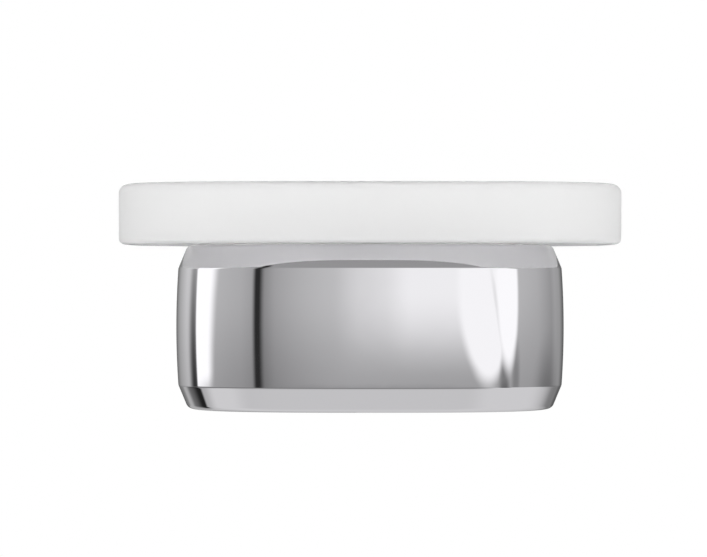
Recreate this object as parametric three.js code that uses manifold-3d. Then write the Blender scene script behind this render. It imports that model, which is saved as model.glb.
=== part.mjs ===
// A wall soap dish, in millimetres: a satin glass dish that lifts out of a chromed holder.
// The holder is a die-cast shell, open at the wall. Inside, it hangs on a bevelled plate that two
// screws and plugs hold to the wall, and a grub screw from below locks it there.
// X runs along the wall, +Y points into the wall and +Z is up. The wall's surface is the plane
// y = 0, and the origin is the middle of the plate's face on the wall, half way up the holder.
import * as THREE from "three";
import { mergeVertices } from "three/addons/utils/BufferGeometryUtils.js";
import Module from "manifold-3d";

const wasm = await Module();
wasm.setup();

// The holder: its outline from above has a bowed front and straight sides
const HOLDER_WIDTH = 108.4;
const HOLDER_HEIGHT = 45.3;
const HOLDER_FRONT_REACH = 48.5; // from its widest line to the front
const HOLDER_REAR_REACH = 56; // from its widest line to the wall
const HOLDER_FULLNESS_SHARE = 3.05; // exponent of the outline: 2 is an ellipse, higher is squarer
const BAND_BULGE = 0.57; // how far the upright band swells at half height
const BEVEL_HEIGHT = 6.45; // of the sloping band above and below the upright one
const BEVEL_INSET = 2.67; // how far that band leans in over its height
const CREASE_RADIUS = 1.6; // where the bands meet
const HOLDER_EDGE_RADIUS = 1.8; // round the top and the bottom face
const HOLDER_WALL = 3;
const HOLDER_DECK = 3; // thickness of the top
const HOLDER_FLOOR = 3; // thickness of the bottom
const CAVITY_CORNER_RADIUS = 2;

// The pocket in the holder's top, and the soft ring that lines it
const POCKET_WIDTH = 72;
const POCKET_LENGTH = 60;
const POCKET_FULLNESS_SHARE = 3;
const POCKET_DEPTH = 5.5;
const POCKET_WALL = 2.5; // of the tub below the deck
const SEAT_FLANGE_WIDTH = 5;
const SEAT_FLANGE_THICKNESS = 1.6;
const SEAT_STANDS_PROUD = 0.25; // keeps the glass off the metal
const SEAT_COLLAR_WALL = 2;
const SEAT_COLLAR_DEPTH = 3.6; // below the flange
const SEAT_LIP_RADIUS = 0.3;

// The glass dish
const DISH_WIDTH = 140;
const DISH_LENGTH = 105;
const DISH_HEIGHT = 16.5;
const DISH_FULLNESS_SHARE = 3.5;
const DISH_TOP_EDGE_RADIUS = 2.4;
const DISH_BOTTOM_EDGE_RADIUS = 1.65;
const RIM_WIDTH = 7;
const RIM_INNER_RADIUS = 1.4;
const BASIN_DEPTH = 9;
const BASIN_WALL_LEAN = 2.2; // how far the basin's side leans in on its way down
const BASIN_CORNER_RADIUS = 6;
const FOOT_HEIGHT = 3.5;
const FOOT_RIM_WIDTH = 5;
const FOOT_HOLLOW_DEPTH = 3;
const FOOT_EDGE_RADIUS = 0.8;
const RIB_COUNT = 7;
const RIB_PITCH = 11;
const RIB_WIDTH = 3.2;
const RIB_HEIGHT = 1.2;
const RIB_LONGEST = 50;
const RIB_SHORTENING = 1.6; // what a rib loses at each end, times its place from the middle squared
const RIB_EDGE_RADIUS = 0.5;

// The plate on the wall: its edges slope back, so the holder hooks over it
const PLATE_WIDTH = 72;
const PLATE_HEIGHT = 26;
const PLATE_THICKNESS = 7;
const PLATE_EDGE_SLOPE = 2.5; // how much smaller it is at the wall, on each side
const PLATE_CORNER_RADIUS = 4;
const SCREW_FROM_PLATE_END = 13;
const SCREW_HOLE_RADIUS = 2.6;
const SLOT_TRAVEL = 4; // length of the right hole's straight stretch
const COUNTERBORE_RADIUS = 6.8;
const COUNTERBORE_DEPTH = 3;

// The hook inside the holder that hangs on the plate
const HOOK_WIDTH = 60;
const HOOK_THICKNESS = 5;
const HOOK_WALL_GAP = 0.5;

// The grub screw that locks the holder, in its boss
const GRUB_RADIUS = 2.5;
const GRUB_LENGTH = 8;
const GRUB_TIP_RADIUS = 1.25;
const GRUB_TIP_LENGTH = 1.3;
const GRUB_FROM_WALL = 5.5;
const GRUB_SOCKET_RADIUS = 1.44; // corner of a 2.5 mm hexagon
const GRUB_SOCKET_DEPTH = 2.6;
const BOSS_RADIUS = 5;
const BOSS_HEIGHT = 4.3; // above the holder's floor

// The wall screws, washers and plugs
const WASHER_RADIUS = 6;
const WASHER_THICKNESS = 1.2;
const WASHER_HOLE_RADIUS = 2.6;
const SCREW_RADIUS = 2.25;
const SCREW_LENGTH = 43; // under the head
const SCREW_POINT_LENGTH = 7;
const SCREW_HEAD_RADIUS = 4.4;
const SCREW_HEAD_HEIGHT = 3.2;
const SCREW_HEAD_DOME = 1.6;
const SCREW_HEAD_FLAT_RADIUS = 1.8; // of the top, inside the dome's round
const CROSS_WIDTH = 1.1;
const CROSS_SPAN = 4.6;
const CROSS_DEPTH = 1.9;
const PLUG_RADIUS = 4;
const PLUG_LENGTH = 40;
const PLUG_TIP_RADIUS = 3.2;
const PLUG_RIDGE = 0.45; // how deep the grooves between its ridges are
const PLUG_RIDGE_COUNT = 7;
const PLUG_PLAIN_END = 6; // smooth stretch at the wall
const PLUG_SPLIT_LENGTH = 26;
const PLUG_SPLIT_WIDTH = 1;
const PLUG_SET_BACK = 0.5; // below the wall's surface

// Running clearances and how finely curves are drawn
const CLEARANCE = 0.3;
const OVERRUN = 12; // how far a cut runs past what it cuts
const OUTLINE_STEPS = 64;
const BAND_STEPS = 4;
const ROUND_STEPS = 24;
const SLOT_STEPS = 16;
const STEPS_PER_RIGHT_ANGLE = 4; // of a fillet
const HEXAGON_SIDES = 6;

// Places that several pieces share
const holderTop = HOLDER_HEIGHT / 2;
const holderBottom = -holderTop;
const bandHalfHeight = holderTop - BEVEL_HEIGHT;
const cavityTop = holderTop - HOLDER_DECK;
const cavityBottom = holderBottom + HOLDER_FLOOR;
const dishCentreY = -HOLDER_REAR_REACH;
const dishBottom = holderTop + SEAT_STANDS_PROUD;
const dishTop = dishBottom + DISH_HEIGHT;
const basinFloor = dishTop - BASIN_DEPTH;
const rebateFloor = dishBottom - SEAT_FLANGE_THICKNESS;
const counterboreFloorY = -(PLATE_THICKNESS - COUNTERBORE_DEPTH);
const headSeatY = counterboreFloorY - WASHER_THICKNESS;
const screwX = PLATE_WIDTH / 2 - SCREW_FROM_PLATE_END;

// Finishes
const chrome = new THREE.MeshStandardMaterial({ color: 0xd5d6d8, roughness: 0.06, metalness: 1 });
const satinGlass = new THREE.MeshStandardMaterial({ color: 0xeef0ef, roughness: 0.55, metalness: 0 });
const softPlastic = new THREE.MeshStandardMaterial({ color: 0xf2f2ee, roughness: 0.6, metalness: 0 });
const castZinc = new THREE.MeshStandardMaterial({ color: 0x9b9ea1, roughness: 0.45, metalness: 1 });
const stainless = new THREE.MeshStandardMaterial({ color: 0xb9bbbd, roughness: 0.3, metalness: 1 });
const nylon = new THREE.MeshStandardMaterial({ color: 0x9a9c9b, roughness: 0.55, metalness: 0 });

// A closed geometry as a solid that can be joined and cut, and back again
function solid(geometry) {
  const bare = new THREE.BufferGeometry();
  bare.setAttribute("position", geometry.getAttribute("position"));
  if (geometry.index) bare.setIndex(geometry.index);
  const merged = mergeVertices(bare);
  return new wasm.Manifold(
    new wasm.Mesh({
      numProp: 3,
      vertProperties: new Float32Array(merged.attributes.position.array),
      triVerts: new Uint32Array(merged.index.array),
    }),
  );
}

function geometryOf(body) {
  const mesh = body.getMesh();
  const geometry = new THREE.BufferGeometry();
  geometry.setAttribute("position", new THREE.BufferAttribute(mesh.vertProperties, 3));
  geometry.setIndex(new THREE.BufferAttribute(mesh.triVerts, 1));
  geometry.computeVertexNormals();
  return geometry;
}

// A superellipse, counterclockwise, with its points close together where it turns most
function superellipse(width, length, fullness) {
  const spread = (share) => Math.sign(share) * Math.abs(share) ** (2 / fullness);
  return Array.from({ length: OUTLINE_STEPS }, (_, i) => {
    const angle = (i / OUTLINE_STEPS) * 2 * Math.PI;
    const x = (width / 2) * spread(Math.cos(angle));
    const y = (length / 2) * spread(Math.sin(angle));
    return new THREE.Vector2(x, y);
  });
}

// A slot with round ends, along X; with no straight stretch it is a circle
function slotOutline(straight, radius) {
  return Array.from({ length: SLOT_STEPS }, (_, i) => {
    const angle = ((i + 0.5) / SLOT_STEPS) * 2 * Math.PI;
    const end = (Math.sign(Math.cos(angle)) * straight) / 2;
    return new THREE.Vector2(end + Math.cos(angle) * radius, Math.sin(angle) * radius);
  });
}

// A rectangle with round corners
function roundedRectangle(width, height, radius) {
  const corners = [
    [1, 1],
    [-1, 1],
    [-1, -1],
    [1, -1],
  ];
  return corners.flatMap(([sideX, sideY], corner) =>
    Array.from({ length: STEPS_PER_RIGHT_ANGLE + 1 }, (_, step) => {
      const angle = ((corner + step / STEPS_PER_RIGHT_ANGLE) * Math.PI) / 2;
      const x = sideX * (width / 2 - radius) + Math.cos(angle) * radius;
      const y = sideY * (height / 2 - radius) + Math.sin(angle) * radius;
      return new THREE.Vector2(x, y);
    }),
  );
}

// An outline drawn in by the same distance all round; a negative one draws it out
function drawnIn(outline, distance) {
  return outline.map((point, i) => {
    const before = point.clone().sub(outline.at(i - 1)).normalize();
    const after = outline[(i + 1) % outline.length].clone().sub(point).normalize();
    const inward = new THREE.Vector2(-before.y - after.y, before.x + after.x);
    return point.clone().addScaledVector(inward, distance / (1 + before.dot(after)));
  });
}

// A profile through corners [inset, height, radius], each rounded by its radius
function rounded(corners) {
  return corners.flatMap(([inset, height, radius], i) => {
    const at = new THREE.Vector2(inset, height);
    if (!radius) return [at];
    const back = new THREE.Vector2(...corners[i - 1]).sub(at).normalize();
    const on = new THREE.Vector2(...corners[i + 1]).sub(at).normalize();
    const half = Math.acos(back.dot(on)) / 2;
    const middle = back.clone().add(on).normalize();
    const centre = at.clone().addScaledVector(middle, radius / Math.sin(half));
    const start = at.clone().addScaledVector(back, radius / Math.tan(half)).sub(centre);
    const end = at.clone().addScaledVector(on, radius / Math.tan(half)).sub(centre);
    const turn = Math.atan2(start.cross(end), start.dot(end));
    const rightAngles = Math.abs(turn) / (Math.PI / 2);
    const steps = Math.max(1, Math.round(rightAngles * STEPS_PER_RIGHT_ANGLE));
    return Array.from({ length: steps + 1 }, (_, step) =>
      start.clone().rotateAround(new THREE.Vector2(), (turn * step) / steps).add(centre),
    );
  });
}

// A body whose outline is drawn in along its height by a profile of (inset, height), bottom first.
// Its height runs along +Z, or out from the wall, along -Y, where outFromWall is true.
function lofted(outline, profile, outFromWall = false) {
  const position = [];
  const index = [];
  const count = outline.length;
  const place = (point, height) =>
    outFromWall ? position.push(point.x, -height, point.y) : position.push(point.x, point.y, height);
  profile.forEach(({ x: inset, y: height }) => {
    drawnIn(outline, inset).forEach((point) => place(point, height));
  });
  const middle = outline.reduce((sum, point) => sum.add(point), new THREE.Vector2()).divideScalar(count);
  place(middle, profile[0].y);
  place(middle, profile.at(-1).y);
  const bottomMiddle = count * profile.length;
  const lastRing = count * (profile.length - 1);
  for (let i = 0; i < count; i++) {
    const next = (i + 1) % count;
    index.push(bottomMiddle, next, i);
    index.push(bottomMiddle + 1, lastRing + i, lastRing + next);
    for (let ring = 0; ring < lastRing; ring += count) {
      index.push(ring + i, ring + next, ring + count + next);
      index.push(ring + i, ring + count + next, ring + count + i);
    }
  }
  const geometry = new THREE.BufferGeometry();
  geometry.setAttribute("position", new THREE.Float32BufferAttribute(position, 3));
  geometry.setIndex(index);
  return solid(geometry);
}

// A straight-sided lofted body between two heights
function upright(outline, from, to, outFromWall = false) {
  return lofted(outline, [new THREE.Vector2(0, from), new THREE.Vector2(0, to)], outFromWall);
}

// A body turned about an axis along Y, from profile points [radius, place along Y]
function turned(profile) {
  const points = profile.map(([radius, along]) => new THREE.Vector2(radius, along));
  return solid(new THREE.LatheGeometry(points, ROUND_STEPS));
}

function box(width, length, height, x, y, z) {
  return solid(new THREE.BoxGeometry(width, length, height).translate(x, y, z));
}

// A round upright bar between two heights
function uprightBar(radius, from, to, y) {
  const bar = new THREE.CylinderGeometry(radius, radius, to - from, ROUND_STEPS);
  return solid(bar.rotateX(Math.PI / 2).translate(0, y, (from + to) / 2));
}

// The holder's outline, about its widest line: half a superellipse, then straight to the wall
const holderOutline = superellipse(HOLDER_WIDTH, 2 * HOLDER_FRONT_REACH, HOLDER_FULLNESS_SHARE).filter(
  (_, i) => i === 0 || i >= OUTLINE_STEPS / 2,
);
holderOutline.push(
  holderOutline.shift(),
  new THREE.Vector2(HOLDER_WIDTH / 2, HOLDER_REAR_REACH + OVERRUN),
  new THREE.Vector2(-HOLDER_WIDTH / 2, HOLDER_REAR_REACH + OVERRUN),
);

// How far the upright band is drawn in at a height: an arc that swells by the bulge at half height
function bandInset(height) {
  const radius = (bandHalfHeight ** 2 + BAND_BULGE ** 2) / (2 * BAND_BULGE);
  return radius - Math.sqrt(radius ** 2 - height ** 2);
}

// The holder's upper profile, from half height to the top face
function holderHalfProfile() {
  const corners = [];
  for (let i = 0; i < BAND_STEPS; i++) {
    const height = (bandHalfHeight * i) / BAND_STEPS;
    corners.push([bandInset(height), height, 0]);
  }
  corners.push([BAND_BULGE, bandHalfHeight, CREASE_RADIUS]);
  corners.push([BAND_BULGE + BEVEL_INSET, holderTop, HOLDER_EDGE_RADIUS]);
  corners.push([BAND_BULGE + BEVEL_INSET + 2 * HOLDER_EDGE_RADIUS, holderTop, 0]);
  return rounded(corners);
}

// The outside of the holder, with its lower half the mirror of the upper one
function holderOutside() {
  const upper = holderHalfProfile();
  const lower = upper.slice(1).map(({ x, y }) => new THREE.Vector2(x, -y));
  return lofted(holderOutline, [...lower.reverse(), ...upper]);
}

// The space inside, which follows the outside at the wall's thickness
function holderCavity() {
  const leanAt = (height) => BAND_BULGE + (BEVEL_INSET * (height - bandHalfHeight)) / BEVEL_HEIGHT;
  const floorInset = leanAt(-cavityBottom) + HOLDER_WALL;
  const deckInset = leanAt(cavityTop) + HOLDER_WALL;
  const corners = [
    [floorInset + 2 * CAVITY_CORNER_RADIUS, cavityBottom, 0],
    [floorInset, cavityBottom, CAVITY_CORNER_RADIUS],
    [HOLDER_WALL + BAND_BULGE, -bandHalfHeight, 0],
    [HOLDER_WALL, 0, 0],
    [HOLDER_WALL + BAND_BULGE, bandHalfHeight, 0],
    [deckInset, cavityTop, CAVITY_CORNER_RADIUS],
    [deckInset + 2 * CAVITY_CORNER_RADIUS, cavityTop, 0],
  ];
  return lofted(holderOutline, rounded(corners));
}

const pocketOutline = superellipse(POCKET_WIDTH, POCKET_LENGTH, POCKET_FULLNESS_SHARE);
const pocketFloor = holderTop - POCKET_DEPTH;

// The hook: a rail under the deck whose lower face slopes as the plate's top edge does
function hookRail() {
  const slope = PLATE_EDGE_SLOPE / PLATE_THICKNESS;
  const plateTopAt = (fromWall) => PLATE_HEIGHT / 2 - PLATE_EDGE_SLOPE + slope * fromWall;
  const front = HOOK_WALL_GAP + HOOK_THICKNESS;
  const inDeck = cavityTop + HOLDER_DECK / 2;
  const section = new THREE.Shape([
    new THREE.Vector2(-HOOK_WALL_GAP, inDeck),
    new THREE.Vector2(-front, inDeck),
    new THREE.Vector2(-front, plateTopAt(front) + CLEARANCE),
    new THREE.Vector2(-HOOK_WALL_GAP, plateTopAt(HOOK_WALL_GAP) + CLEARANCE),
  ]);
  const rail = new THREE.ExtrudeGeometry(section, { depth: HOOK_WIDTH, bevelEnabled: false });
  const alongX = new THREE.Matrix4().makeBasis(
    new THREE.Vector3(0, 1, 0),
    new THREE.Vector3(0, 0, 1),
    new THREE.Vector3(1, 0, 0),
  );
  return solid(rail.translate(0, 0, -HOOK_WIDTH / 2).applyMatrix4(alongX));
}

function holderBody() {
  const tubOutline = drawnIn(pocketOutline, -POCKET_WALL);
  const tub = upright(tubOutline, pocketFloor - POCKET_WALL, holderTop - HOLDER_DECK / 2);
  const rebateOutline = drawnIn(pocketOutline, -SEAT_FLANGE_WIDTH - CLEARANCE);
  const shell = holderOutside()
    .subtract(holderCavity())
    .add(tub)
    .subtract(upright(pocketOutline, pocketFloor, holderTop + OVERRUN))
    .subtract(upright(rebateOutline, rebateFloor, holderTop + OVERRUN))
    .translate(0, dishCentreY, 0);
  const beyondWall = box(2 * HOLDER_WIDTH, 2 * OVERRUN, 2 * HOLDER_HEIGHT, 0, OVERRUN, 0);
  const bossTop = cavityBottom + BOSS_HEIGHT;
  const boss = uprightBar(BOSS_RADIUS, cavityBottom - HOLDER_FLOOR / 2, bossTop, -GRUB_FROM_WALL);
  const grubHoleRadius = GRUB_RADIUS + CLEARANCE;
  const grubHole = uprightBar(grubHoleRadius, holderBottom - OVERRUN, bossTop + OVERRUN, -GRUB_FROM_WALL);
  return shell.subtract(beyondWall).add(hookRail()).add(boss).subtract(grubHole);
}

// The soft ring: a flange on the deck's rebate and a collar down the pocket
function dishSeatRing() {
  const flangeOutside = drawnIn(pocketOutline, -SEAT_FLANGE_WIDTH);
  const collarOutside = drawnIn(pocketOutline, CLEARANCE);
  const inside = drawnIn(collarOutside, SEAT_COLLAR_WALL);
  const flange = lofted(
    flangeOutside,
    rounded([
      [0, rebateFloor, 0],
      [0, dishBottom, SEAT_LIP_RADIUS],
      [SEAT_FLANGE_WIDTH / 2, dishBottom, 0],
    ]),
  );
  return flange
    .add(upright(collarOutside, rebateFloor - SEAT_COLLAR_DEPTH, dishBottom - SEAT_FLANGE_THICKNESS / 2))
    .subtract(upright(inside, rebateFloor - OVERRUN, dishBottom + OVERRUN))
    .translate(0, dishCentreY, 0);
}

const dishOutline = superellipse(DISH_WIDTH, DISH_LENGTH, DISH_FULLNESS_SHARE);
const footOutline = drawnIn(pocketOutline, SEAT_COLLAR_WALL + 2 * CLEARANCE);

function dishBlock() {
  return lofted(
    dishOutline,
    rounded([
      [2 * DISH_BOTTOM_EDGE_RADIUS, dishBottom, 0],
      [0, dishBottom, DISH_BOTTOM_EDGE_RADIUS],
      [0, dishTop, DISH_TOP_EDGE_RADIUS],
      [RIM_WIDTH, dishTop, 0],
    ]),
  );
}

// The hollow that holds the soap: a soft lip, a side that leans in and a flat floor
function basin() {
  const floorInset = RIM_WIDTH + BASIN_WALL_LEAN;
  return lofted(
    dishOutline,
    rounded([
      [floorInset + 2 * BASIN_CORNER_RADIUS, basinFloor, 0],
      [floorInset, basinFloor, BASIN_CORNER_RADIUS],
      [RIM_WIDTH, dishTop, RIM_INNER_RADIUS],
      [RIM_WIDTH - 2 * RIM_INNER_RADIUS, dishTop, 0],
      [RIM_WIDTH - 2 * RIM_INNER_RADIUS, dishTop + OVERRUN, 0],
    ]),
  );
}

// Low ribs that keep the soap out of the water, shorter towards the sides
function soapRibs() {
  const ribs = [];
  for (let i = 0; i < RIB_COUNT; i++) {
    const place = i - (RIB_COUNT - 1) / 2;
    const length = RIB_LONGEST - 2 * RIB_SHORTENING * place ** 2;
    const alongX = slotOutline(length - RIB_WIDTH, RIB_WIDTH / 2);
    const outline = alongX.map(({ x, y }) => new THREE.Vector2(-y, x));
    const profile = rounded([
      [0, basinFloor - RIB_HEIGHT, 0],
      [0, basinFloor + RIB_HEIGHT, RIB_EDGE_RADIUS],
      [2 * RIB_EDGE_RADIUS, basinFloor + RIB_HEIGHT, 0],
    ]);
    ribs.push(lofted(outline, profile).translate(place * RIB_PITCH, 0, 0));
  }
  return ribs.reduce((all, rib) => all.add(rib));
}

// The foot under the dish, which drops into the soft ring, with a hollow inside its rim
function dishFoot() {
  const footBottom = dishBottom - FOOT_HEIGHT;
  const foot = lofted(
    footOutline,
    rounded([
      [2 * FOOT_EDGE_RADIUS, footBottom, 0],
      [0, footBottom, FOOT_EDGE_RADIUS],
      [0, dishBottom + FOOT_HEIGHT, 0],
    ]),
  );
  const hollow = drawnIn(footOutline, FOOT_RIM_WIDTH);
  return foot.subtract(upright(hollow, footBottom - OVERRUN, footBottom + FOOT_HOLLOW_DEPTH));
}

function glassDish() {
  return dishBlock().subtract(basin()).add(soapRibs()).add(dishFoot()).translate(0, dishCentreY, 0);
}

// A hole through the plate and the wider recess for the washer and the screw's head
function plateHole(straight, x) {
  const hole = upright(slotOutline(straight, SCREW_HOLE_RADIUS), -OVERRUN, PLATE_THICKNESS + OVERRUN, true);
  const counterbore = upright(
    slotOutline(straight, COUNTERBORE_RADIUS),
    PLATE_THICKNESS - COUNTERBORE_DEPTH,
    PLATE_THICKNESS + OVERRUN,
    true,
  );
  return hole.add(counterbore).translate(x, 0, 0);
}

function wallPlate() {
  const outline = roundedRectangle(PLATE_WIDTH, PLATE_HEIGHT, PLATE_CORNER_RADIUS);
  const profile = [new THREE.Vector2(PLATE_EDGE_SLOPE, 0), new THREE.Vector2(0, PLATE_THICKNESS)];
  return lofted(outline, profile, true)
    .subtract(plateHole(0, -screwX))
    .subtract(plateHole(SLOT_TRAVEL, screwX));
}

// The grub screw stands just short of the plate's lower slope, its socket open below
function grubScrew() {
  const slope = PLATE_EDGE_SLOPE / PLATE_THICKNESS;
  const touchFromWall = GRUB_FROM_WALL + GRUB_TIP_RADIUS;
  const plateBottomThere = -(PLATE_HEIGHT / 2 - PLATE_EDGE_SLOPE + slope * touchFromWall);
  const tip = plateBottomThere - CLEARANCE;
  const foot = tip - GRUB_LENGTH;
  const profile = [
    new THREE.Vector2(0, foot),
    new THREE.Vector2(GRUB_RADIUS, foot),
    new THREE.Vector2(GRUB_RADIUS, tip - GRUB_TIP_LENGTH),
    new THREE.Vector2(GRUB_TIP_RADIUS, tip),
    new THREE.Vector2(0, tip),
  ];
  const body = solid(new THREE.LatheGeometry(profile, ROUND_STEPS).rotateX(Math.PI / 2));
  const socketLength = GRUB_SOCKET_DEPTH + OVERRUN;
  const socketMiddle = foot + GRUB_SOCKET_DEPTH - socketLength / 2;
  const socket = new THREE.CylinderGeometry(
    GRUB_SOCKET_RADIUS,
    GRUB_SOCKET_RADIUS,
    socketLength,
    HEXAGON_SIDES,
  );
  return body
    .subtract(solid(socket.rotateX(Math.PI / 2).translate(0, 0, socketMiddle)))
    .translate(0, -GRUB_FROM_WALL, 0);
}

function wallScrew() {
  const headTop = headSeatY - SCREW_HEAD_HEIGHT;
  const tip = headSeatY + SCREW_LENGTH;
  const profile = [[0, headTop]];
  for (let step = 0; step <= STEPS_PER_RIGHT_ANGLE; step++) {
    const angle = ((step / STEPS_PER_RIGHT_ANGLE) * Math.PI) / 2;
    const outwards = (SCREW_HEAD_RADIUS - SCREW_HEAD_FLAT_RADIUS) * Math.sin(angle);
    profile.push([SCREW_HEAD_FLAT_RADIUS + outwards, headTop + SCREW_HEAD_DOME * (1 - Math.cos(angle))]);
  }
  profile.push([SCREW_HEAD_RADIUS, headSeatY], [SCREW_RADIUS, headSeatY]);
  profile.push([SCREW_RADIUS, tip - SCREW_POINT_LENGTH], [0, tip]);
  const body = turned(profile);
  const slotLength = 2 * CROSS_DEPTH;
  const oneSlot = box(CROSS_SPAN, slotLength, CROSS_WIDTH, 0, headTop, 0);
  const otherSlot = box(CROSS_WIDTH, slotLength, CROSS_SPAN, 0, headTop, 0);
  return body.subtract(oneSlot.add(otherSlot));
}

function washer() {
  return turned([
    [WASHER_HOLE_RADIUS, headSeatY],
    [WASHER_RADIUS, headSeatY],
    [WASHER_RADIUS, counterboreFloorY],
    [WASHER_HOLE_RADIUS, counterboreFloorY],
    [WASHER_HOLE_RADIUS, headSeatY],
  ]);
}

// The plug: a ridged sleeve in the wall, split at its far end so that the screw spreads it
function wallPlug() {
  const bore = SCREW_RADIUS + CLEARANCE;
  const start = PLUG_SET_BACK;
  const end = start + PLUG_LENGTH;
  const ridgePitch = (PLUG_LENGTH - 2 * PLUG_PLAIN_END) / PLUG_RIDGE_COUNT;
  const profile = [
    [bore, start],
    [PLUG_RADIUS, start],
  ];
  for (let i = 0; i < PLUG_RIDGE_COUNT; i++) {
    const ridgeStart = start + PLUG_PLAIN_END + i * ridgePitch;
    profile.push([PLUG_RADIUS, ridgeStart]);
    profile.push([PLUG_RADIUS - PLUG_RIDGE, ridgeStart + PLUG_RIDGE]);
  }
  profile.push([PLUG_RADIUS, end - PLUG_PLAIN_END], [PLUG_TIP_RADIUS, end], [bore, end], [bore, start]);
  const splitLength = PLUG_SPLIT_LENGTH + OVERRUN;
  const splitMiddle = end + OVERRUN - splitLength / 2;
  const split = box(PLUG_SPLIT_WIDTH, splitLength, 2 * PLUG_RADIUS + OVERRUN, 0, splitMiddle, 0);
  return turned(profile).subtract(split);
}

// The assembly
const soapDish = new THREE.Group();

function addPiece(name, body, material, x = 0) {
  const piece = new THREE.Mesh(geometryOf(body), material);
  piece.name = name;
  piece.position.x = x;
  soapDish.add(piece);
}

addPiece("glass_dish", glassDish(), satinGlass);
addPiece("dish_seat_ring", dishSeatRing(), softPlastic);
addPiece("holder_body", holderBody(), chrome);
addPiece("wall_plate", wallPlate(), castZinc);
addPiece("grub_screw", grubScrew(), stainless);
for (const [side, x] of [
  ["left", -screwX],
  ["right", screwX],
]) {
  addPiece(`screw_washer_${side}`, washer(), stainless, x);
  addPiece(`wall_screw_${side}`, wallScrew(), stainless, x);
  addPiece(`wall_plug_${side}`, wallPlug(), nylon, x);
}

export default soapDish;
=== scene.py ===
import math

import bpy
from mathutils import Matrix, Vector


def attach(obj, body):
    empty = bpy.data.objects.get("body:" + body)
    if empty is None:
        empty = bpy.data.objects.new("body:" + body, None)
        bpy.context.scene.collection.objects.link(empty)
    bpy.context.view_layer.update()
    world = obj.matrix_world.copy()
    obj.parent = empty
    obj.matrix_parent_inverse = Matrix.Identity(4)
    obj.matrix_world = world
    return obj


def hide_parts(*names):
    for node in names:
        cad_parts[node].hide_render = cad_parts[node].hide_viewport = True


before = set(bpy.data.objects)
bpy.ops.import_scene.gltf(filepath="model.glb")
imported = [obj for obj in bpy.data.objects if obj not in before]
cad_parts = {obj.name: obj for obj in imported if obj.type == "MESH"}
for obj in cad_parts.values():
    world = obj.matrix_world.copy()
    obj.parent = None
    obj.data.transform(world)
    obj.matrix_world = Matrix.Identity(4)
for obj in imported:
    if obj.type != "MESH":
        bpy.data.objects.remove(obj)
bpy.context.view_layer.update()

MM = 0.001


# The camera
# It stands level with the holder and a long way in front of it, as the photograph's did,
# a few millimetres to the left of the middle.
CAMERA_PLACE = (-4.6 * MM, -961 * MM, 13.4 * MM)
CAMERA_LENS_MM = 163.25
CAMERA_SENSOR_MM = 36

camera_data = bpy.data.cameras.new("photo_camera")
camera_data.lens = CAMERA_LENS_MM
camera_data.sensor_width = CAMERA_SENSOR_MM
camera = bpy.data.objects.new("photo_camera", camera_data)
camera.location = CAMERA_PLACE
camera.rotation_euler = (math.radians(90), 0, 0)
bpy.context.scene.collection.objects.link(camera)
bpy.context.scene.camera = camera


# The studio
# A pale room with a light over it. Polished chrome mirrors it, so its lights stand where the
# photograph's do: a tall soft box at the left, two round ones at the right.
def linear(colour):
    """The linear colour of an sRGB hex value such as 0xd5d6d8, opaque"""
    channels = [((colour >> shift) & 255) / 255 for shift in (16, 8, 0)]
    return [c / 12.92 if c <= 0.04045 else ((c + 0.055) / 1.055) ** 2.4 for c in channels] + [1]


def add_node(tree, kind, inputs=None, stops=(), **settings):
    """Adds a node with its settings, and the stops (position, sRGB colour) if it is a colour ramp.
    Each of its inputs is a value, or the socket that feeds it"""
    node = tree.nodes.new(kind)
    for name, value in settings.items():
        setattr(node, name, value)
    for name, value in (inputs or {}).items():
        if isinstance(value, bpy.types.NodeSocket):
            tree.links.new(value, node.inputs[name])
        else:
            node.inputs[name].default_value = value
    for place_in_ramp, (position, colour) in enumerate(stops):
        elements = node.color_ramp.elements
        element = elements[place_in_ramp] if place_in_ramp < len(elements) else elements.new(1)
        element.position = position
        element.color = linear(colour)
    return node


# The walls at eye level, (degrees round from the camera to the right, tone)
WALL_TONES = [
    (-180, 0x404040),
    (-168, 0x707070),
    (-155, 0xA0A0A0),
    (-135, 0xC4C4C4),
    (-90, 0xB6B6B6),
    (-50, 0xA9A9A9),
    (-42, 0xA0A0A0),
    (-33, 0x838383),
    (-25, 0x9E9E9E),
    (0, 0xBEBEBE),
    (70, 0xB4B4B4),
    (100, 0xABABAB),
    (128, 0x949494),
    (138, 0x9E9E9E),
    (152, 0x959595),
    (165, 0x606060),
    (180, 0x606060),
]
# The ceiling light and the floor, (degrees up from eye level, tone)
FLOOR_AND_CEILING_TONES = [
    (-90, 0xC8C8C8),
    (-46, 0xC0C0C0),
    (-30, 0xB4B4B4),
    (-22, 0x9A9A9A),
    (-16, 0x707070),
    (30, 0x969696),
    (50, 0x909090),
    (62, 0xFFFFFF),
    (90, 0xFFFFFF),
]
# Where these two meet the walls and where the walls are shaded low down, in degrees up
FLOOR_EDGE = (-11, -9)
CEILING_EDGE = (24, 34)
WALL_FADE_HEIGHTS = (-11, 5)
WALL_FADE = 0.68
# How far the soft box's right edge leans, in degrees round for each degree up
SOFT_BOX_LEAN = 0.5
ROOM_STRENGTH = 1.27
# What lights the matt and the frosted surfaces, (degrees round to the right, tone): a broad light
# in front, about half as strong at both sides and weaker behind, above and below; the right
# side gets a little more
SOFT_TONES = [
    (-180, 0x9A9A9A),
    (-90, 0xB1B1B1),
    (0, 0xFFFFFF),
    (90, 0xB8B8B8),
    (180, 0x9A9A9A),
]
SOFT_TONE_ABOVE_AND_BELOW = 0x808080
SOFT_FADE_FROM = 45
SOFT_STRENGTH = 1.45

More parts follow.
